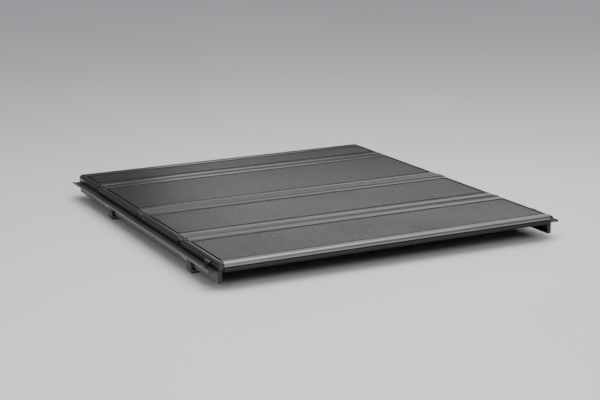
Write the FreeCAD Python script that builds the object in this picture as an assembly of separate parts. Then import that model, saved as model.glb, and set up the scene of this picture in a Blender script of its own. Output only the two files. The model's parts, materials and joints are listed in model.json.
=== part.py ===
import FreeCAD, Part
import math
import os

# Hard tri-fold tonneau cover for a pickup bed of about 1.57 m.
# +X is to the right of the vehicle, +Y towards the cab, +Z up, millimetres.
# The origin is the centre of the header's seat on the bed's front wall, so the
# bed's flange lies in the plane Z = 0 all round.

# ---- driving dimensions ----
SKIN_HALF = 650.0  # half width of the panels' textured skins and of the hinge bars
PANEL_HALF = 668.0  # half width over the side frames
PANEL_BOTTOM = 8.0
SKIN_TOP = 32.0
SKIN_THICK = 1.5
LINER_THICK = 1.5
GROOVE = 5.0  # gap between a skin's edge and the extrusion beside it
LEG_WIDTH = 8.0  # how far an extrusion's leg reaches under the skin
LEG_THICK = 2.0
WALL = 2.2  # wall of the hollow extrusions
END_PLUG = 2.5  # thickness of the plug that closes each end of a side frame
BAR_EDGE = 33.0  # height of a hinge bar at its edges
BAR_CROWN = 35.0  # height of a hinge bar at its middle
BAR_CHAMFER = 1.2

AXIS_Z = 31.0  # height of every fold axis
AXIS_GAP = 4.5  # from a fold axis to the face of the bar beside it
KNUCKLE_R = 4.0
PIN_R = 2.0
PIN_RUNNING = 0.05  # radial clearance of a hinge pin in its knuckles
KNUCKLE_COUNT = 10
KNUCKLE_END_GAP = 0.4

HEADER_AXIS = -222.0
FRONT_AXES = (-697.0, -747.0)  # the wide hinge, which lets two panels lie between its leaves
REAR_AXES = (-1136.0, -1148.0)
WIDE_LINK = 30.0  # a link longer than this is a full-depth hollow leaf
HINGE_BAR = 50.0
NARROW_BAR = 33.0  # the bars on each side of the wide hinge
REAR_EDGE = -1510.0
REAR_BAR = 34.0
FRONT_EDGE = 30.0
FRONT_BAR_REAR = -20.0

FOOT_HALF_DEPTH = 15.0  # header's foot on the bed's front wall
FOOT_HALF_WIDTH = 636.0

RAIL_INNER = 640.0
RAIL_OUTER = 700.0
RAIL_PLATE = 3.0
RAIL_WEB = (664.0, 667.0)
RAIL_BOTTOM = -40.0
RAIL_LIP_HEIGHT = 7.0
SLOT_INNER = 652.0  # T-slot on the inboard side of each rail
SLOT_TOP = -10.0
SLOT_LIP = 6.0
RAIL_FRONT = 15.0
RAIL_REAR = -1490.0
END_CAP = 4.0
SEAL_TOP = 7.7
SEAL_SPAN = (645.0, 659.0)

CLAMP_Y = (-400.0, -1250.0)
CLAMP_HALF = 20.0
CLAMP_BOLT_X = 641.0
CLAMP_BOLT_R = 4.0
THROAT = 6.0  # clear height between the rail's seat and the closed jaw

LATCH_Y = -1395.0
LATCH_CUP_R = 36.0
CRANK_R = 24.0
BOLT_TRAVEL = 14.0
BOLT_R = 3.5
BOLT_Z = 17.0
BOLT_TIP = 670.0
BOLT_OFFSET = 23.5  # from the handle's axis to each sliding bolt
STRIKER_X = (674.0, 678.0)

ROD_X = 615.0
ROD_R = 4.0
ROD_LENGTH = 345.0  # from the pivot to the bent tip
ROD_PIVOT = (-342.0, 0.0)  # Y, Z at rest
HEADER_OPEN = math.radians(85.0)
CATCH_Z = -6.0
CRANK_HALF_TURN = math.asin(BOLT_TRAVEL / 2 / CRANK_R)


# ---- helpers ----
def vec(x, y, z):
    return FreeCAD.Vector(x, y, z)


def box(x, y, z):
    """A box from three (low, high) pairs."""
    size = [max(pair) - min(pair) for pair in (x, y, z)]
    return Part.makeBox(*size, vec(min(x), min(y), min(z)))


def rod_x(x, y, z, r):
    return Part.makeCylinder(r, max(x) - min(x), vec(min(x), y, z), vec(1, 0, 0))


def rod_z(x, y, z, r):
    return Part.makeCylinder(r, max(z) - min(z), vec(x, y, min(z)), vec(0, 0, 1))


def outline(points, place):
    """A closed wire through 2-D points; a point (a, b, "arc") bends the edge to the next one."""
    edges = []
    corners = [p for p in points if len(p) == 2]
    bends = {}
    for i, p in enumerate(points):
        if len(p) == 3:
            bends[points[i - 1]] = p
    for start, end in zip(corners, corners[1:] + corners[:1]):
        if start in bends:
            middle = place(*bends[start][:2])
            edges.append(Part.Arc(place(*start), middle, place(*end)).toShape())
        else:
            edges.append(Part.LineSegment(place(*start), place(*end)).toShape())
    return Part.Face(Part.Wire(edges))


def along_x(points, x):
    """Extrudes a (y, z) outline from x[0] to x[1]."""
    face = outline(points, lambda a, b: vec(min(x), a, b))
    return face.extrude(vec(max(x) - min(x), 0, 0))


def along_y(points, y):
    """Extrudes an (x, z) outline from y[0] to y[1]."""
    face = outline(points, lambda a, b: vec(a, min(y), b))
    return face.extrude(vec(0, max(y) - min(y), 0))


def joined(shapes):
    first, rest = shapes[0], shapes[1:]
    return first.fuse(rest).removeSplitter() if rest else first


def mirrored(shape):
    return shape.mirror(vec(0, 0, 0), vec(1, 0, 0))


def save(name, *solids):
    shape = solids[0] if len(solids) == 1 else Part.makeCompound(list(solids))
    shape.exportStep(os.path.join("parts", name + ".step"))


def save_pair(name, right):
    """Writes a right-hand piece and its mirror image as one node."""
    save(name, right, mirrored(right))


def save_sides(name, right):
    """Writes a right-hand piece and its mirror image as two nodes."""
    save("right_" + name, right)
    save("left_" + name, mirrored(right))


# ---- panels ----
def crowned(y0, y1, bottom):
    """The section of a hinge bar: flat sides, chamfered shoulders and a crowned top."""
    shoulder = BAR_EDGE - BAR_CHAMFER
    return [
        (y0, bottom),
        (y0, shoulder),
        (y0 + BAR_CHAMFER, BAR_EDGE),
        ((y0 + y1) / 2, BAR_CROWN, "arc"),
        (y1 - BAR_CHAMFER, BAR_EDGE),
        (y1, shoulder),
        (y1, bottom),
    ]


def knuckle_spans(odd):
    """The stretches of the hinge line that one side's knuckles take."""
    step = 2 * SKIN_HALF / KNUCKLE_COUNT
    first = 1 if odd else 0
    starts = [-SKIN_HALF + step * i for i in range(first, KNUCKLE_COUNT, 2)]
    return [(a + KNUCKLE_END_GAP, a + step - KNUCKLE_END_GAP) for a in starts]


def with_knuckles(body, axis_y, face_y, odd):
    """Adds knuckles round a fold axis, each with a neck from the body's face, and bores them."""
    pieces = [body]
    for span in knuckle_spans(odd):
        pieces.append(rod_x(span, axis_y, AXIS_Z, KNUCKLE_R))
        pieces.append(box(span, (face_y, axis_y), (AXIS_Z - KNUCKLE_R, AXIS_Z)))
    bore = rod_x((-SKIN_HALF, SKIN_HALF), axis_y, AXIS_Z, PIN_R + PIN_RUNNING)
    return joined(pieces).cut(bore)


def hinge_bar(y0, y1, skin_side, axis_y=None, odd=False):
    """A hollow crowned bar with a leg under the skin and, where it folds, knuckles."""
    width = (-SKIN_HALF, SKIN_HALF)
    solid = along_x(crowned(y0, y1, PANEL_BOTTOM), width)
    hollow = box(width, (y0 + WALL, y1 - WALL), (PANEL_BOTTOM + WALL, BAR_EDGE - WALL))
    skin_face = y0 if skin_side < 0 else y1
    leg_top = SKIN_TOP - SKIN_THICK
    leg = box(width, (skin_face, skin_face + skin_side * LEG_WIDTH), (leg_top - LEG_THICK, leg_top))
    bar = joined([solid.cut(hollow), leg])
    if axis_y is None:
        return bar
    return with_knuckles(bar, axis_y, y1 if skin_side < 0 else y0, odd)


def side_frame(y, bottom=PANEL_BOTTOM):
    """A panel's right-hand edge: hollow and plugged, its rounded shoulder falling to its outer face."""
    outer = [
        (SKIN_HALF, bottom),
        (SKIN_HALF, SKIN_TOP),
        (SKIN_HALF + 3, SKIN_TOP),
        (PANEL_HALF - 4, SKIN_TOP - 4.2, "arc"),
        (PANEL_HALF, SKIN_TOP - 12),
        (PANEL_HALF, bottom),
    ]
    inner = [
        (SKIN_HALF + WALL, bottom + WALL),
        (SKIN_HALF + WALL, SKIN_TOP - 3),
        (PANEL_HALF - WALL, SKIN_TOP - 13.5),
        (PANEL_HALF - WALL, bottom + WALL),
    ]
    return along_y(outer, y).cut(along_y(inner, (min(y) + END_PLUG, max(y) - END_PLUG)))


def side_leg(y):
    """The leg of a side frame that carries the skin's edge."""
    leg_top = SKIN_TOP - SKIN_THICK
    return box((SKIN_HALF - LEG_WIDTH, SKIN_HALF), y, (leg_top - LEG_THICK, leg_top))


def sandwich(rear, front):
    """Skin, core and liner between two extrusions' faces, and the side legs' span."""
    leg_top = SKIN_TOP - SKIN_THICK
    core_bottom = PANEL_BOTTOM + LINER_THICK
    skin = box(
        (GROOVE - SKIN_HALF, SKIN_HALF - GROOVE),
        (rear + GROOVE, front - GROOVE),
        (leg_top, SKIN_TOP),
    )
    core_low = box((-SKIN_HALF, SKIN_HALF), (rear, front), (core_bottom, leg_top - LEG_THICK))
    core_high = box(
        (LEG_WIDTH - SKIN_HALF, SKIN_HALF - LEG_WIDTH),
        (rear + LEG_WIDTH, front - LEG_WIDTH),
        (leg_top - LEG_THICK, leg_top),
    )
    liner = box((-SKIN_HALF, SKIN_HALF), (rear, front), (PANEL_BOTTOM, core_bottom))
    return skin, joined([core_low, core_high]), liner, (rear + LEG_WIDTH, front - LEG_WIDTH)


def framed(edges, leg_span, bottom=PANEL_BOTTOM):
    return joined([side_frame(edges, bottom), side_leg(leg_span)])


def make_header():
    bar_rear = HEADER_AXIS + AXIS_GAP
    bar_front = bar_rear + HINGE_BAR
    skin, core, liner, leg_span = sandwich(bar_front, FRONT_BAR_REAR)
    save("header_skin", skin)
    save("header_core", core)
    save("header_liner", liner)
    save("header_hinge_bar", hinge_bar(bar_rear, bar_front, 1, HEADER_AXIS, odd=False))

    frame = framed((bar_rear, FRONT_EDGE - 6), leg_span, RAIL_PLATE)
    screw_x = (SKIN_HALF + PANEL_HALF) / 2
    screws = []
    for y in (-40.0, -150.0):
        frame = frame.cut(rod_z(screw_x, y, (RAIL_PLATE, RAIL_PLATE + WALL), 3.1))
        shank = rod_z(screw_x, y, (-1.0, RAIL_PLATE + WALL + 5), 3.0)
        head = rod_z(screw_x, y, (-4.5, 0.0), 2.9)
        washer = rod_z(screw_x, y, (RAIL_PLATE + WALL, RAIL_PLATE + WALL + 3), 5.2)
        screws.append(joined([shank, head, washer]))
    save_pair("header_side_frames", frame)
    save("header_screws", *screws, *[mirrored(s) for s in screws])

    top = [
        (FRONT_BAR_REAR, PANEL_BOTTOM),
        (FRONT_BAR_REAR, BAR_EDGE),
        (2.0, BAR_CROWN, "arc"),
        (20.0, BAR_EDGE),
        (FRONT_EDGE - 2.2, BAR_EDGE - 4.5, "arc"),
        (FRONT_EDGE, BAR_EDGE - 12),
        (FRONT_EDGE, 14.0),
        (24.0, PANEL_BOTTOM),
    ]
    width = (-SKIN_HALF, SKIN_HALF)
    leg_top = SKIN_TOP - SKIN_THICK
    front = joined([
        along_x(top, width).cut(box(width, (-17.0, 19.0), (10.5, 30.0))),
        box(width, (FRONT_BAR_REAR - LEG_WIDTH, FRONT_BAR_REAR), (leg_top - LEG_THICK, leg_top)),
        box(
            (-FOOT_HALF_WIDTH, FOOT_HALF_WIDTH),
            (-FOOT_HALF_DEPTH, FOOT_HALF_DEPTH),
            (0.0, PANEL_BOTTOM),
        ),
    ])
    core_of_foot = box((-FOOT_HALF_WIDTH, FOOT_HALF_WIDTH), (-12.0, 12.0), (3.0, PANEL_BOTTOM))
    save("header_front_rail", front.cut(core_of_foot))

    bulb = rod_x((-FOOT_HALF_WIDTH, FOOT_HALF_WIDTH), 20.5, 4.0, 4.0)
    bulb = bulb.cut(rod_x((-FOOT_HALF_WIDTH, FOOT_HALF_WIDTH), 20.5, 4.0, 2.4))
    strip = box((-FOOT_HALF_WIDTH, FOOT_HALF_WIDTH), (FOOT_HALF_DEPTH, 17.6), (0.2, 7.8))
    save("bulkhead_seal", joined([bulb, strip]))


def make_panel(name, front_axis, front_width, rear_axis, rear_width, front_odd, rear_odd):
    """A folding panel between two fold axes."""
    front_face = front_axis - AXIS_GAP
    rear_face = rear_axis + AXIS_GAP
    front_bar = hinge_bar(front_face - front_width, front_face, -1, front_axis, front_odd)
    rear_bar = hinge_bar(rear_face, rear_face + rear_width, 1, rear_axis, rear_odd)
    parts = sandwich(rear_face + rear_width, front_face - front_width)
    save(name + "_front_bar", front_bar)
    save(name + "_rear_bar", rear_bar)
    save(name + "_skin", parts[0])
    save(name + "_core", parts[1])
    save(name + "_liner", parts[2])
    save_pair(name + "_side_frames", framed((rear_face, front_face), parts[3]))


def make_link(name, axes, depth, panel_odd):
    """The leaf between two fold axes, its two pins and its end caps."""
    front, rear = axes
    reach = KNUCKLE_R + 0.3
    width = (-SKIN_HALF, SKIN_HALF)
    if front - rear > WIDE_LINK:
        middle = (front + rear) / 2
        halves = [
            along_x(crowned(rear + reach, middle, depth), width),
            along_x(crowned(middle, front - reach, depth), width),
        ]
        hollow = box(width, (rear + reach + WALL, front - reach - WALL), (depth + WALL, 30.0))
        leaf = joined(halves).cut(hollow)
    else:
        leaf = box(width, (rear + reach, front - reach), (AXIS_Z - KNUCKLE_R, BAR_EDGE - 0.5))
    leaf = with_knuckles(leaf, front, front - reach, not panel_odd)
    leaf = with_knuckles(leaf, rear, rear + reach, not panel_odd)
    save(name + "_link", leaf)
    save(name + "_pins", *[rod_x((0.5 - SKIN_HALF, SKIN_HALF - 0.5), y, AXIS_Z, PIN_R) for y in axes])
    cap_span = (SKIN_HALF, PANEL_HALF - 1)
    cap = [rod_x(cap_span, y, AXIS_Z - 4.5, KNUCKLE_R) for y in axes]
    cap.append(box(cap_span, (rear, front), (AXIS_Z - 8.5, AXIS_Z - 0.5)))
    if front - rear > WIDE_LINK:
        cap.append(side_frame((rear + reach, front - reach)))
    save_pair(name + "_end_caps", joined(cap))


def make_rear_panel():
    name = "rear_panel"
    front_face = REAR_AXES[1] - AXIS_GAP
    bar_rear = front_face - HINGE_BAR
    edge_front = REAR_EDGE + REAR_BAR
    save(name + "_front_bar", hinge_bar(bar_rear, front_face, -1, REAR_AXES[1], odd=False))
    skin, core, liner, leg_span = sandwich(edge_front, bar_rear)

    pocket = box((-52.0, 52.0), (LATCH_Y - 40, LATCH_Y + 40), (PANEL_BOTTOM, 23.0))
    channels = [
        box(
            (0.0, side * SKIN_HALF),
            (LATCH_Y + side * BOLT_OFFSET - 5, LATCH_Y + side * BOLT_OFFSET + 5),
            (BOLT_Z - 5, BOLT_Z + 5),
        )
        for side in (-1, 1)
    ]
    save(name + "_skin", skin)
    save(name + "_core", core.cut([pocket, *channels]))
    cup_hole = rod_z(0.0, LATCH_Y, (PANEL_BOTTOM - 1, PANEL_BOTTOM + 5), LATCH_CUP_R + 0.5)
    save(name + "_liner", liner.cut(cup_hole))

    frame = framed((REAR_EDGE + 4, front_face), leg_span)
    hole_span = (SKIN_HALF - 1, PANEL_HALF + 1)
    right = frame.cut(rod_x(hole_span, LATCH_Y + BOLT_OFFSET, BOLT_Z, BOLT_R + 0.4))
    left = mirrored(frame)
    left = left.cut(rod_x([-x for x in hole_span], LATCH_Y - BOLT_OFFSET, BOLT_Z, BOLT_R + 0.4))
    save(name + "_side_frames", right, left)

    width = (-SKIN_HALF, SKIN_HALF)
    section = [
        (edge_front, PANEL_BOTTOM),
        (edge_front, BAR_EDGE),
        (edge_front - 9.0, BAR_CROWN, "arc"),
        (REAR_EDGE + 14, BAR_CROWN - 0.6),
        (REAR_EDGE + 3, BAR_CROWN - 4.5, "arc"),
        (REAR_EDGE, BAR_EDGE - 9),
        (REAR_EDGE, 17.5),
        (REAR_EDGE + 11, 17.5),
        (REAR_EDGE + 11, PANEL_BOTTOM),
    ]
    leg_top = SKIN_TOP - SKIN_THICK
    edge = along_x(section, width)
    edge = edge.cut(box(width, (REAR_EDGE + 13.2, edge_front - WALL), (PANEL_BOTTOM + WALL, 31.0)))
    leg = box(width, (edge_front, edge_front + LEG_WIDTH), (leg_top - LEG_THICK, leg_top))
    save(name + "_rear_bar", joined([edge, leg]))

    bulb = rod_x(width, REAR_EDGE + 3.5, 7.0, 7.0).cut(rod_x(width, REAR_EDGE + 3.5, 7.0, 4.6))
    strip = box(width, (REAR_EDGE + 8.0, REAR_EDGE + 11.0), (4.0, 17.5))
    save("tailgate_seal", joined([bulb, strip]))

    pads = []
    for x in (-500.0, 500.0):
        for y in (-1250.0, -1440.0):
            foot = rod_z(x, y, (-5.0, -1.0), 9.0)
            stem = Part.makeCone(9.0, 13.0, 9.0, vec(x, y, -1.0), vec(0, 0, 1))
            pads.append(joined([foot, stem]))
    save("stack_rest_pads", *pads)


def make_latch():
    centre = (0.0, LATCH_Y)
    plate = rod_z(*centre, (PANEL_BOTTOM - 1.5, PANEL_BOTTOM), 50.0)
    cup = rod_z(*centre, (PANEL_BOTTOM, 12.5), LATCH_CUP_R)
    dish = rod_z(*centre, (PANEL_BOTTOM - 2, 11.0), LATCH_CUP_R - 2)
    shaft_hole = rod_z(*centre, (5.0, 15.0), 7.4)
    save("latch_housing", joined([plate, cup]).cut([dish, shaft_hole]))

    grip = box((-6.0, 6.0), (LATCH_Y - 28, LATCH_Y + 28), (1.5, 10.5))
    ends = [rod_z(0.0, LATCH_Y + dy, (1.5, 10.5), 6.0) for dy in (-28, 28)]
    shaft = rod_z(*centre, (10.0, 13.0), 7.0)
    save("latch_handle", joined([grip, shaft, *ends]))

    crank = [rod_z(*centre, (13.0, 15.5), 11.0)]
    crank.append(box((-5.5, 5.5), (LATCH_Y - CRANK_R, LATCH_Y + CRANK_R), (13.0, 15.5)))
    for side in (-1, 1):
        crank.append(rod_z(0.0, LATCH_Y + side * CRANK_R, (13.0, 15.5), 5.5))
        crank.append(rod_z(0.0, LATCH_Y + side * CRANK_R, (15.5, 19.0), 3.0))
    crank = joined(crank)
    crank.rotate(vec(0, LATCH_Y, 0), vec(0, 0, 1), math.degrees(CRANK_HALF_TURN))
    save("latch_crank", crank)

    pin_x = -BOLT_TRAVEL / 2
    y = LATCH_Y + BOLT_OFFSET
    fork = box((pin_x - 9, 22.0), (y - 8, y + 8), (16.0, 18.0))
    slot = box((pin_x - 3.4, pin_x + 3.4), (y - 4.6, y + 4.6), (15.0, 19.0))
    shank = rod_x((20.0, BOLT_TIP), y, BOLT_Z, BOLT_R)
    bolt = joined([fork, shank]).cut(slot)
    save("right_latch_rod", bolt)
    save("left_latch_rod", bolt.copy().rotate(vec(0, LATCH_Y, 0), vec(0, 0, 1), 180))

    strikers = []
    for side in (-1, 1):
        y = LATCH_Y + side * BOLT_OFFSET
        foot = box((side * STRIKER_X[0], side * 696.0), (y - 14, y + 14), (RAIL_PLATE, 5.5))
        wall = box((side * STRIKER_X[0], side * STRIKER_X[1]), (y - 14, y + 14), (RAIL_PLATE, 25.0))
        window = box((side * 670.0, side * 682.0), (y - 4.5, y + 4.5), (BOLT_Z - 4.5, BOLT_Z + 4.5))
        strikers.append(joined([foot, wall]).cut(window))
    save("latch_strikers", *strikers)


# ---- rails and clamps ----
def make_rails():
    web_in, web_out = RAIL_WEB
    lip = RAIL_OUTER - 3
    section = [
        (RAIL_INNER, 0.0),
        (RAIL_INNER, RAIL_PLATE),
        (lip, RAIL_PLATE),
        (lip, RAIL_LIP_HEIGHT),
        (RAIL_OUTER, RAIL_LIP_HEIGHT),
        (RAIL_OUTER, 0.0),
        (web_out, 0.0),
        (web_out, RAIL_BOTTOM),
        (SLOT_INNER, RAIL_BOTTOM),
        (SLOT_INNER, RAIL_BOTTOM + SLOT_LIP),
        (SLOT_INNER + 3, RAIL_BOTTOM + SLOT_LIP),
        (SLOT_INNER + 3, RAIL_BOTTOM + 3),
        (web_in, RAIL_BOTTOM + 3),
        (web_in, SLOT_TOP - 3),
        (SLOT_INNER + 3, SLOT_TOP - 3),
        (SLOT_INNER + 3, SLOT_TOP - SLOT_LIP),
        (SLOT_INNER, SLOT_TOP - SLOT_LIP),
        (SLOT_INNER, SLOT_TOP),
        (web_in, SLOT_TOP),
        (web_in, 0.0),
    ]
    rail = along_y(section, (RAIL_REAR, RAIL_FRONT))
    for y in (-40.0, -150.0):
        rail = rail.cut(rod_z((SKIN_HALF + PANEL_HALF) / 2, y, (-1.0, RAIL_PLATE + 1), 3.1))
    save_sides("side_rail", rail)

    low, high = SEAL_SPAN
    middle = (low + high) / 2
    seal = [
        (low, RAIL_PLATE),
        (low + 1.5, 5.6),
        (middle, SEAL_TOP, "arc"),
        (high - 1.5, 5.6),
        (high, RAIL_PLATE),
    ]
    solid = along_y(seal, (RAIL_REAR, HEADER_AXIS)).cut(
        along_y(
            [(middle - 3, 4.2), (middle, 6.4, "arc"), (middle + 3, 4.2)], (RAIL_REAR, HEADER_AXIS)
        )
    )
    save_sides("rail_seal", solid)

    cap_outline = [
        (RAIL_INNER, 0.0),
        (RAIL_INNER, RAIL_PLATE),
        (lip, RAIL_PLATE),
        (lip, RAIL_LIP_HEIGHT),
        (RAIL_OUTER, RAIL_LIP_HEIGHT),
        (RAIL_OUTER, 0.0),
        (web_out, 0.0),
        (web_out, RAIL_BOTTOM),
        (SLOT_INNER, RAIL_BOTTOM),
        (SLOT_INNER, 0.0),
    ]
    caps = []
    for y in (RAIL_REAR - END_CAP, RAIL_FRONT):
        cap = along_y(cap_outline, (y, y + END_CAP))
        caps += [cap, mirrored(cap)]
    save("rail_end_caps", *caps)


def slot_block(y, half, inner):
    """A T-head that fills the rail's slot, with a block standing inboard of it."""
    head = box((SLOT_INNER + 3.5, RAIL_WEB[0] - 0.5), (y - half, y + half), (-36.5, -13.5))
    neck = box((SLOT_INNER - 2, SLOT_INNER + 4), (y - half, y + half), (-33.5, -16.5))
    block = box((inner, SLOT_INNER - 0.5), (y - half, y + half), (-36.0, -14.0))
    return [head, neck, block]


def make_clamps():
    brackets = []
    for y in CLAMP_Y:
        bracket = joined(slot_block(y, CLAMP_HALF, 630.0))
        bracket = bracket.cut(rod_z(CLAMP_BOLT_X, y, (-40.0, -10.0), CLAMP_BOLT_R + 0.05))
        brackets += [bracket, mirrored(bracket)]
    save("clamp_brackets", *brackets)

    span = (-THROAT - 8, -THROAT)
    for place, y in zip(("front", "rear"), CLAMP_Y):
        along = (y - CLAMP_HALF, y + CLAMP_HALF)
        pad = box((669.5, 690.0), along, span)
        arm = box((669.5, 677.0), along, (-58.0, span[1]))
        base = box((630.0, 677.0), along, (-58.0, -50.0))
        teeth = [box((x, x + 1.2), along, (span[1] - 9, span[1] - 8)) for x in (679.0, 683.0, 687.0)]
        jaw = joined([pad, arm, base, *teeth])
        jaw = jaw.cut(rod_z(CLAMP_BOLT_X, y, (-60, -45), CLAMP_BOLT_R + 0.05))
        save_sides(place + "_clamp_jaw", jaw)
        head = Part.makePolygon([
            vec(CLAMP_BOLT_X + 7.5 * math.cos(a), y + 7.5 * math.sin(a), -64.0)
            for a in [math.radians(60 * i) for i in range(7)]
        ])
        head = Part.Face(Part.Wire(head.Edges)).extrude(vec(0, 0, 6.0))
        bolt = joined([head, rod_z(CLAMP_BOLT_X, y, (-60.0, -12.0), CLAMP_BOLT_R)])
        save_sides(place + "_clamp_bolt", bolt)


# ---- prop rods ----
def open_position(y, z):
    """Where a point of the front panel goes when the cover stands open."""
    dy, dz = y - HEADER_AXIS, z - AXIS_Z
    c, s = math.cos(HEADER_OPEN), math.sin(HEADER_OPEN)
    return HEADER_AXIS + dy * c + dz * s, AXIS_Z - dy * s + dz * c


def catch_place():
    """The catch's Y, and the angle each rod swings through to reach it."""
    y, z = open_position(*ROD_PIVOT)
    drop = z - CATCH_Z
    run = math.sqrt(ROD_LENGTH**2 - drop**2)
    return y - run, math.degrees(HEADER_OPEN + math.atan2(drop, run))


def make_prop_rods():
    y, z = ROD_PIVOT
    eye = rod_x((ROD_X - 4, ROD_X + 4), y, z, 7.0)
    length = Part.makeCylinder(ROD_R, ROD_LENGTH, vec(ROD_X, y, z), vec(0, -1, 0))
    knee = Part.makeSphere(ROD_R, vec(ROD_X, y - ROD_LENGTH, z))
    tip = rod_x((ROD_X, ROD_X + 19), y - ROD_LENGTH, z, ROD_R)
    rod = joined([eye, length, knee, tip])
    save_sides("prop_rod", rod.cut(rod_x((ROD_X - 8, ROD_X + 8), y, z, 3.05)))

    ears = [
        box((x, x + 3), (y - 9, y + 9), (-7.0, PANEL_BOTTOM)) for x in (ROD_X - 8, ROD_X + 5)
    ]
    base = box((ROD_X - 8, ROD_X + 8), (y - 9, y + 9), (PANEL_BOTTOM - 1, PANEL_BOTTOM))
    clevis = joined([*ears, base]).cut(rod_x((ROD_X - 9, ROD_X + 9), y, z, 3.0))
    pin = rod_x((ROD_X - 9, ROD_X + 9), y, z, 3.0)
    save("prop_rod_pivots", clevis, mirrored(clevis), pin, mirrored(pin))

    clip_y = (y - ROD_LENGTH + 60, y - ROD_LENGTH + 74)
    arms = [box((x, x + 2), clip_y, (-4.0, PANEL_BOTTOM)) for x in (ROD_X - 6.5, ROD_X + 4.5)]
    bridge = box((ROD_X - 6.5, ROD_X + 6.5), clip_y, (PANEL_BOTTOM - 2, PANEL_BOTTOM))
    save_pair("prop_rod_clips", joined([*arms, bridge]))

    catch_y = catch_place()[0]
    fork = box((622.0, 632.0), (catch_y - 12, catch_y + 12), (-34.0, 2.0))
    notch = box((620.0, 634.0), (catch_y - 4.6, catch_y + 4.6), (CATCH_Z - 4.6, 4.0))
    catch = joined([*slot_block(catch_y, 12.0, 631.0), fork]).cut(notch)
    save_pair("prop_rod_catches", catch)


def main():
    os.makedirs("parts", exist_ok=True)
    make_header()
    save("header_hinge_pin", rod_x((0.5 - SKIN_HALF, SKIN_HALF - 0.5), HEADER_AXIS, AXIS_Z, PIN_R))
    make_panel("front_panel", HEADER_AXIS, HINGE_BAR, FRONT_AXES[0], NARROW_BAR, True, False)
    make_link("front_hinge", FRONT_AXES, PANEL_BOTTOM, panel_odd=False)
    make_panel("middle_panel", FRONT_AXES[1], NARROW_BAR, REAR_AXES[0], HINGE_BAR, False, False)
    make_link("rear_hinge", REAR_AXES, PANEL_BOTTOM, panel_odd=False)
    make_rear_panel()
    make_latch()
    make_rails()
    make_clamps()
    make_prop_rods()
    print("catch Y and rod swing:", *[round(v, 3) for v in catch_place()])
    print("latch turn:", round(2 * math.degrees(CRANK_HALF_TURN), 3))


main()
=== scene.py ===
import json
import math

import bmesh
import bpy
from mathutils import Euler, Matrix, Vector


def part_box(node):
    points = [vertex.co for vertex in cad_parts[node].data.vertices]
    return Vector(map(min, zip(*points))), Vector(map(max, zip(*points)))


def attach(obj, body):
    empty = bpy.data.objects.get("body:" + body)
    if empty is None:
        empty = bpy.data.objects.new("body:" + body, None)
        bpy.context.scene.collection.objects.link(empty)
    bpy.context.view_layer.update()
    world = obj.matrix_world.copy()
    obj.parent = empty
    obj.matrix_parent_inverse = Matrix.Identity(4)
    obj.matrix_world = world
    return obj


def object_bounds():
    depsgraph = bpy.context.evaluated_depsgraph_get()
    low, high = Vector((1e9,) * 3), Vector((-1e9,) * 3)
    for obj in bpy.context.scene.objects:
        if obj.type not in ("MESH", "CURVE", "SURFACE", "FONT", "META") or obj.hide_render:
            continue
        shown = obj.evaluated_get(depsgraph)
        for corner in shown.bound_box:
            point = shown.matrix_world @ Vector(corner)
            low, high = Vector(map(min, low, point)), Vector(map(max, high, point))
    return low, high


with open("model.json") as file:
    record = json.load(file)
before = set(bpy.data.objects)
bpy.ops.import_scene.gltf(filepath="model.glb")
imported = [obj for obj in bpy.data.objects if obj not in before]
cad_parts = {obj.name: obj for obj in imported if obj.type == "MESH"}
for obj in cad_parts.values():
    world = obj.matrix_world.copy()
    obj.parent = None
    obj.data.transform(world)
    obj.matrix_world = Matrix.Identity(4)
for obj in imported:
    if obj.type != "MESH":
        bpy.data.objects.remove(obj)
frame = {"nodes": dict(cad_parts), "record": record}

CAD_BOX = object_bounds()
MM = 0.001

# Where the camera stands, in the frame's metres, and how far it leans.
CAMERA_PLACE = Vector((-2.344, -5.604, 1.319))
CAMERA_ROLL = math.radians(-0.83)
CAMERA_LENS = 84.0
CAMERA_AIM_RAISE = 0.02  # how far above the box's middle it aims
SENSOR_WIDTH = 36.0
FLOOR_GAP = 0.5 * MM
FLOOR_SIZE = 200  # m
EDGE_ROUND = 0.35 * MM
EDGE_ANGLE = math.radians(35)
WELD_REACH = 0.002 * MM
WORN_POINTINESS = (0.52, 0.62)

# Name, place from the object's centre (m), width and depth (m), power (W).
LIGHTS = (
    ("overhead", (0.2, -0.6, 3.6), 4.2, 3.4, 170),
    ("left_fill", (-3.6, -2.2, 2.0), 2.4, 1.6, 40),
    ("near_key", (-0.6, -4.6, 3.0), 3.0, 1.6, 90),
)
# A low softbox beyond the header. It only adds sheen, and most of it on the rear panels.
SHEEN_LIGHT = ("sheen_softbox", (1.2, 1.3, 0.85), 2.6, 0.4, 9)
SHEEN_COLOUR = (0.965, 0.99, 1.0)
HORIZON_STRENGTH = 0.05
ZENITH_STRENGTH = 1.1
HORIZON_TOP = 0.3  # sine of the elevation up to which the world stays dim
ZENITH_EDGE = 0.9  # sine of the elevation from which it is at its brightest
SKY_COLOUR = (0.80, 0.82, 0.85, 1)

# The rubber strip in the groove round each skin.
SKIN_THICK = 1.5 * MM
GROOVE = 5.0 * MM
GASKET_GAP = 0.1 * MM
GASKET_WIDTH = GROOVE - 2 * GASKET_GAP
GASKET_LAP = 3.0 * MM
GASKET_HEAD = 0.5 * MM


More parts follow.
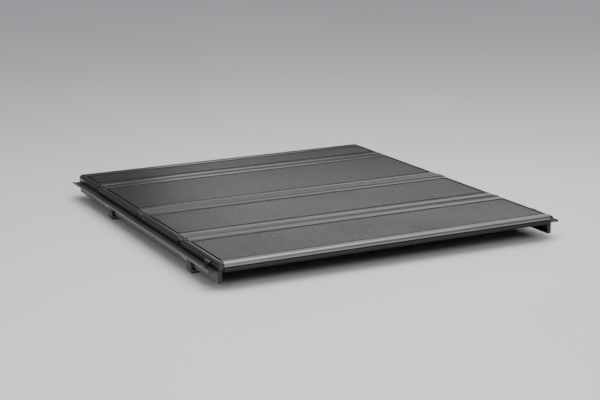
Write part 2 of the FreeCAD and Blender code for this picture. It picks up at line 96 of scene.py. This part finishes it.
# ---- node helpers ----
class Shader:
    """A Principled material whose colour, roughness and bump come from procedural nodes."""

    def __init__(self, name, **settings):
        self.material = bpy.data.materials.new(name)
        self.material.use_nodes = True
        self.nodes = self.material.node_tree.nodes
        self.links = self.material.node_tree.links
        self.principled = self.nodes["Principled BSDF"]
        for socket, value in settings.items():
            self.principled.inputs[socket.replace("_", " ")].default_value = value
        self.coords = self.nodes.new("ShaderNodeTexCoord").outputs["Object"]
        self.bump_normal = None

    def link(self, source, node, socket):
        self.links.new(source, node.inputs[socket])

    def stretched(self, scale):
        """Object coordinates scaled by (x, y, z), for streaks along an axis."""
        mapping = self.nodes.new("ShaderNodeMapping")
        mapping.inputs["Scale"].default_value = scale
        self.link(self.coords, mapping, "Vector")
        return mapping.outputs["Vector"]

    def noise(self, scale, detail, roughness, vector=None):
        node = self.nodes.new("ShaderNodeTexNoise")
        node.inputs["Scale"].default_value = scale
        node.inputs["Detail"].default_value = detail
        node.inputs["Roughness"].default_value = roughness
        self.link(vector or self.coords, node, "Vector")
        return node.outputs["Fac"]

    def cells(self, scale, smoothness):
        node = self.nodes.new("ShaderNodeTexVoronoi")
        node.feature = "SMOOTH_F1"
        node.inputs["Scale"].default_value = scale
        node.inputs["Smoothness"].default_value = smoothness
        self.link(self.coords, node, "Vector")
        return node.outputs["Distance"]

    def spread(self, value, low, high, start=0.0, end=1.0):
        """Maps start..end to low..high, clamped."""
        node = self.nodes.new("ShaderNodeMapRange")
        node.inputs["From Min"].default_value = start
        node.inputs["From Max"].default_value = end
        node.inputs["To Min"].default_value = low
        node.inputs["To Max"].default_value = high
        self.link(value, node, "Value")
        return node.outputs["Result"]

    def mix(self, factor, first, second):
        """A colour between two others, by a value. Each is a constant or a node's output."""
        node = self.nodes.new("ShaderNodeMix")
        node.data_type = "RGBA"
        self.link(factor, node, "Factor")
        for socket, colour in (("A", first), ("B", second)):
            target = [s for s in node.inputs if s.name == socket and s.type == "RGBA"][0]
            if isinstance(colour, tuple):
                target.default_value = (*colour, 1.0)
            else:
                self.links.new(colour, target)
        return [s for s in node.outputs if s.type == "RGBA"][0]

    def add(self, first, second, weight):
        node = self.nodes.new("ShaderNodeMath")
        node.operation = "MULTIPLY_ADD"
        self.link(second, node, 0)
        node.inputs[1].default_value = weight
        self.link(first, node, 2)
        return node.outputs["Value"]

    def bump(self, height, distance, strength):
        node = self.nodes.new("ShaderNodeBump")
        node.inputs["Distance"].default_value = distance
        node.inputs["Strength"].default_value = strength
        self.link(height, node, "Height")
        if self.bump_normal:
            self.link(self.bump_normal, node, "Normal")
        self.bump_normal = node.outputs["Normal"]
        self.link(self.bump_normal, self.principled, "Normal")

    def edges(self):
        """High along a mesh's convex edges, where a coating wears."""
        geometry = self.nodes.new("ShaderNodeNewGeometry")
        return self.spread(geometry.outputs["Pointiness"], 0.0, 1.0, *WORN_POINTINESS)

    def colour(self, output):
        self.link(output, self.principled, "Base Color")

    def roughness(self, output):
        self.link(output, self.principled, "Roughness")


# ---- materials ----
def textured_skin():
    """Black coating with a fine pebbled grain, a little uneven in sheen."""
    s = Shader("textured_skin", Metallic=0.0, IOR=1.5, Specular_IOR_Level=0.36)
    pebbles = s.cells(520, smoothness=0.4)
    patches = s.noise(150, 3, 0.65)
    fine = s.noise(1900, 2, 0.6)
    broad = s.noise(2.6, 3, 0.55)
    mottle = s.noise(60, 2, 0.6)
    patch = s.spread(patches, 0, 1, 0.35, 0.65)
    dark = s.mix(patch, (0.016, 0.0165, 0.0175), (0.030, 0.0305, 0.032))
    s.colour(s.mix(s.spread(pebbles, 0.0, 0.55, 0.15, 0.6), dark, (0.007, 0.007, 0.0075)))
    uneven = s.add(s.add(patches, broad, 0.8), mottle, 1.0)
    s.roughness(s.spread(uneven, 0.30, 0.46, 1.1, 1.7))
    s.bump(s.add(pebbles, fine, 0.2), 0.0005, 0.6)
    s.bump(patches, 0.0002, 0.3)
    s.bump(mottle, 0.0004, 0.5)
    return s.material


def coated_aluminium():
    """Satin black powder coat with orange peel and a little dust, thinner along its edges."""
    s = Shader("coated_aluminium", Metallic=0.0, IOR=1.5, Specular_IOR_Level=0.5)
    peel = s.noise(650, 2, 0.55)
    cloud = s.noise(9, 3, 0.6)
    dust = s.noise(170, 4, 0.75)
    tone = s.mix(s.spread(cloud, 0, 1, 0.3, 0.7), (0.015, 0.0155, 0.0165), (0.023, 0.0235, 0.0245))
    dusty = s.mix(s.spread(dust, 0.0, 0.5, 0.58, 0.8), tone, (0.040, 0.040, 0.040))
    s.colour(s.mix(s.edges(), dusty, (0.036, 0.0365, 0.038)))
    s.roughness(s.spread(s.add(cloud, peel, 0.3), 0.27, 0.33, 0.4, 0.95))
    s.bump(peel, 0.00015, 0.5)
    return s.material


def trim_aluminium():
    """Graphite anodised extrusion, brushed along its length."""
    s = Shader("trim_aluminium", Metallic=0.9, IOR=1.5)
    brushed = s.noise(1.0, 3, 0.65, vector=s.stretched((5, 1100, 1100)))
    cloud = s.noise(6, 3, 0.6)
    tone = s.mix(s.spread(cloud, 0, 1, 0.3, 0.7), (0.13, 0.132, 0.137), (0.17, 0.172, 0.178))
    s.colour(s.mix(s.edges(), tone, (0.42, 0.42, 0.43)))
    s.roughness(s.spread(s.add(cloud, brushed, 0.6), 0.30, 0.44, 0.45, 1.15))
    s.bump(brushed, 0.00012, 0.5)
    return s.material


def gasket_rubber():
    """Matt black sealing strip, with the specks of grit that it holds."""
    s = Shader("gasket_rubber", Metallic=0.0, IOR=1.35, Specular_IOR_Level=0.1)
    skin = s.noise(900, 2, 0.6)
    grit = s.noise(420, 3, 0.7)
    specks = s.spread(grit, 0, 1, 0.68, 0.78)
    s.colour(s.mix(specks, (0.0035, 0.0035, 0.0037), (0.018, 0.0175, 0.017)))
    s.roughness(s.spread(skin, 0.8, 0.95))
    s.bump(skin, 0.0002, 0.5)
    return s.material


def rail_aluminium():
    """Black anodised extrusion with die lines along its length."""
    s = Shader("rail_aluminium", Metallic=0.55, IOR=1.5)
    lines = s.noise(1.0, 3, 0.6, vector=s.stretched((900, 3, 900)))
    cloud = s.noise(7, 3, 0.6)
    tone = s.mix(s.spread(cloud, 0, 1, 0.3, 0.7), (0.030, 0.0305, 0.032), (0.046, 0.0465, 0.048))
    s.colour(s.mix(s.edges(), tone, (0.16, 0.16, 0.165)))
    s.roughness(s.spread(s.add(cloud, lines, 0.5), 0.34, 0.5, 0.45, 1.1))
    s.bump(lines, 0.00012, 0.6)
    return s.material


def liner_sheet():
    """Smooth coated sheet of the panels' undersides, with faint rolling marks."""
    s = Shader("liner_sheet", Metallic=0.2, IOR=1.5)
    roll = s.noise(1.0, 2, 0.5, vector=s.stretched((3, 260, 260)))
    cloud = s.noise(5, 4, 0.6)
    s.colour(s.mix(s.spread(cloud, 0, 1, 0.3, 0.7), (0.045, 0.0455, 0.047), (0.062, 0.0625, 0.064)))
    s.roughness(s.spread(s.add(cloud, roll, 0.4), 0.42, 0.56, 0.45, 1.0))
    s.bump(roll, 0.00012, 0.5)
    return s.material


def foam_core():
    """Expanded bead foam."""
    s = Shader("foam_core", Metallic=0.0, Roughness=0.85)
    beads = s.cells(260, smoothness=0.2)
    s.colour(s.mix(s.spread(beads, 0, 1, 0.1, 0.6), (0.80, 0.80, 0.77), (0.62, 0.62, 0.59)))
    s.bump(beads, 0.0008, 0.6)
    return s.material


def seal_rubber():
    """Dull extruded rubber with a little bloom."""
    s = Shader("seal_rubber", Metallic=0.0, IOR=1.45)
    skin = s.noise(1100, 2, 0.6)
    bloom = s.noise(22, 4, 0.65)
    pale = s.spread(bloom, 0, 1, 0.35, 0.75)
    s.colour(s.mix(pale, (0.006, 0.006, 0.0063), (0.014, 0.014, 0.0145)))
    s.roughness(s.spread(bloom, 0.62, 0.8, 0.3, 0.7))
    s.bump(skin, 0.0002, 0.6)
    return s.material


def moulded_plastic():
    """Black moulded plastic with a spark-eroded texture."""
    s = Shader("moulded_plastic", Metallic=0.0, IOR=1.49)
    spark = s.noise(1600, 3, 0.7)
    cloud = s.noise(30, 3, 0.5)
    s.colour(s.mix(s.spread(cloud, 0, 1, 0.3, 0.7), (0.013, 0.013, 0.0135), (0.02, 0.02, 0.0205)))
    s.roughness(s.spread(s.add(cloud, spark, 0.5), 0.42, 0.6, 0.4, 1.1))
    s.bump(spark, 0.00025, 0.6)
    return s.material


def cast_aluminium():
    """Black-coated die casting, grainy, with the metal showing at its rubbed edges."""
    s = Shader("cast_aluminium", Metallic=0.3, IOR=1.5)
    sand = s.noise(900, 3, 0.65)
    stain = s.noise(60, 4, 0.6)
    tone = s.mix(s.spread(stain, 0, 1, 0.3, 0.7), (0.030, 0.030, 0.031), (0.052, 0.052, 0.054))
    s.colour(s.mix(s.edges(), tone, (0.30, 0.30, 0.305)))
    s.roughness(s.spread(s.add(stain, sand, 0.6), 0.4, 0.62, 0.45, 1.15))
    s.bump(sand, 0.0003, 0.6)
    return s.material


def plated_steel():
    """Zinc-plated steel with fine draw marks."""
    s = Shader("plated_steel", Metallic=1.0)
    draw = s.noise(1.0, 3, 0.6, vector=s.stretched((6, 1400, 1400)))
    spangle = s.noise(140, 3, 0.6)
    s.colour(s.mix(s.spread(spangle, 0, 1, 0.3, 0.7), (0.50, 0.50, 0.49), (0.64, 0.64, 0.63)))
    s.roughness(s.spread(s.add(spangle, draw, 0.5), 0.25, 0.42, 0.45, 1.1))
    s.bump(draw, 0.0001, 0.5)
    return s.material


def coated_steel():
    """Black electro-coated rod."""
    s = Shader("coated_steel", Metallic=0.4, IOR=1.5)
    draw = s.noise(1.0, 3, 0.6, vector=s.stretched((900, 5, 900)))
    rub = s.noise(18, 4, 0.65)
    tone = s.mix(s.spread(rub, 0, 1, 0.55, 0.8), (0.022, 0.022, 0.0225), (0.09, 0.09, 0.088))
    s.colour(tone)
    s.roughness(s.spread(s.add(rub, draw, 0.4), 0.3, 0.46, 0.4, 1.0))
    s.bump(draw, 0.0001, 0.5)
    return s.material


MAKERS = (
    textured_skin,
    coated_aluminium,
    trim_aluminium,
    rail_aluminium,
    liner_sheet,
    foam_core,
    seal_rubber,
    gasket_rubber,
    moulded_plastic,
    cast_aluminium,
    plated_steel,
    coated_steel,
)
MATERIALS = {maker.__name__: maker() for maker in MAKERS}


def dress_frame():
    """Gives every CAD node the material of its slot and breaks its edges."""
    slots = {s["node"]: s["material_slot"] for s in frame["record"]["subparts"]}
    for node, obj in frame["nodes"].items():
        obj.data.materials.clear()
        obj.data.materials.append(MATERIALS[slots[node]])
        soften(obj)


def soften(obj):
    """Breaks a node's sharp edges with a small round."""
    weld = obj.modifiers.new("weld", "WELD")
    weld.merge_threshold = WELD_REACH
    bevel = obj.modifiers.new("bevel", "BEVEL")
    bevel.width = EDGE_ROUND
    bevel.segments = 2
    bevel.limit_method = "ANGLE"
    bevel.angle_limit = EDGE_ANGLE
    bevel.use_clamp_overlap = True
    normals = obj.modifiers.new("normals", "WEIGHTED_NORMAL")
    normals.keep_sharp = False
    normals.weight = 80


# ---- pieces ----
def gasket_section():
    """A T-shaped strip, as (across, up) round its outline: its stem stands in the groove and
    its crowned head laps over the skin's edge."""
    top = SKIN_THICK + GASKET_GAP
    crown = top + GASKET_HEAD
    return [
        (0.0, 0.0),
        (0.0, top),
        (-GASKET_LAP, top),
        (-0.8 * GASKET_LAP, top + 0.7 * GASKET_HEAD),
        (0.0, crown),
        (0.6 * GASKET_WIDTH, crown),
        (GASKET_WIDTH, top + 0.4 * GASKET_HEAD),
        (GASKET_WIDTH, 0.0),
    ]


def skin_gasket(skin, body):
    """The rubber strip that seals the groove round a panel's skin."""
    low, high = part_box(skin)
    mesh = bmesh.new()
    rings = []
    for across, up in gasket_section():
        out = across + GASKET_GAP
        corners = (
            (low.x - out, low.y - out),
            (high.x + out, low.y - out),
            (high.x + out, high.y + out),
            (low.x - out, high.y + out),
        )
        rings.append([mesh.verts.new((x, y, low.z + GASKET_GAP + up)) for x, y in corners])
    for inner, outer in zip(rings, rings[1:] + rings[:1]):
        for i in range(4):
            mesh.faces.new((inner[i], outer[i], outer[i - 3], inner[i - 3]))
    bmesh.ops.recalc_face_normals(mesh, faces=mesh.faces)
    data = bpy.data.meshes.new(skin + "_gasket")
    mesh.to_mesh(data)
    mesh.free()
    piece = bpy.data.objects.new(skin + "_gasket", data)
    bpy.context.collection.objects.link(piece)
    data.materials.append(MATERIALS["gasket_rubber"])
    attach(piece, body)


def make_gaskets():
    """One strip round the header's skin and one round each panel's."""
    for skin, body in (
        ("header_skin", "rails_and_header"),
        ("front_panel_skin", "front_panel"),
        ("middle_panel_skin", "middle_panel"),
        ("rear_panel_skin", "rear_panel"),
    ):
        skin_gasket(skin, body)


# ---- studio ----
def make_studio():
    """A pale floor, three softboxes, the sheen light and the world."""
    low, high = CAD_BOX
    bpy.ops.mesh.primitive_plane_add(size=FLOOR_SIZE, location=(0, 0, low.z - FLOOR_GAP))
    floor = bpy.context.object
    floor.name = "studio_floor"
    s = Shader("studio_floor", Metallic=0.0, IOR=1.4)
    cloud = s.noise(0.6, 3, 0.5)
    s.colour(s.mix(cloud, (0.60, 0.61, 0.62), (0.66, 0.67, 0.68)))
    s.roughness(s.spread(cloud, 0.5, 0.6))
    floor.data.materials.append(s.material)

    make_world()
    centre = (low + high) / 2
    for light in LIGHTS:
        softbox(centre, *light)
    sheen = softbox(centre, *SHEEN_LIGHT)
    sheen.visible_diffuse = False
    sheen.data.color = SHEEN_COLOUR


def softbox(centre, name, place, width, depth, energy):
    """An area light at a place given from the centre, aimed at it and unseen by the camera."""
    light = bpy.data.lights.new(name, "AREA")
    light.shape = "RECTANGLE"
    light.size = width
    light.size_y = depth
    light.energy = energy
    lamp = bpy.data.objects.new(name, light)
    bpy.context.collection.objects.link(lamp)
    lamp.location = centre + Vector(place)
    lamp.rotation_euler = (centre - lamp.location).to_track_quat("-Z", "Y").to_euler()
    lamp.visible_camera = False
    return lamp


def make_world():
    """Soft light from all round, dimmer towards the horizon."""
    world = bpy.data.worlds.new("studio")
    bpy.context.scene.world = world
    world.use_nodes = True
    nodes, links = world.node_tree.nodes, world.node_tree.links
    direction = nodes.new("ShaderNodeTexCoord").outputs["Generated"]
    height = nodes.new("ShaderNodeSeparateXYZ")
    links.new(direction, height.inputs["Vector"])
    fade = nodes.new("ShaderNodeMapRange")
    fade.inputs["From Min"].default_value = HORIZON_TOP
    fade.inputs["From Max"].default_value = ZENITH_EDGE
    fade.inputs["To Min"].default_value = HORIZON_STRENGTH
    fade.inputs["To Max"].default_value = ZENITH_STRENGTH
    links.new(height.outputs["Z"], fade.inputs["Value"])
    background = nodes["Background"]
    background.inputs["Color"].default_value = SKY_COLOUR
    links.new(fade.outputs["Result"], background.inputs["Strength"])


def make_camera():
    """A camera behind the tailgate end, to the left of the cover."""
    low, high = CAD_BOX
    data = bpy.data.cameras.new("camera")
    data.sensor_width = SENSOR_WIDTH
    data.lens = CAMERA_LENS
    data.dof.use_dof = False
    camera = bpy.data.objects.new("camera", data)
    bpy.context.collection.objects.link(camera)
    camera.location = CAMERA_PLACE
    target = (low + high) / 2 + Vector((0, 0, CAMERA_AIM_RAISE))
    aim = (target - CAMERA_PLACE).to_track_quat("-Z", "Y").to_matrix()
    roll = Euler((0, 0, CAMERA_ROLL)).to_matrix()
    camera.rotation_euler = (aim @ roll).to_euler()
    bpy.context.scene.camera = camera


dress_frame()
make_gaskets()
make_studio()
make_camera()
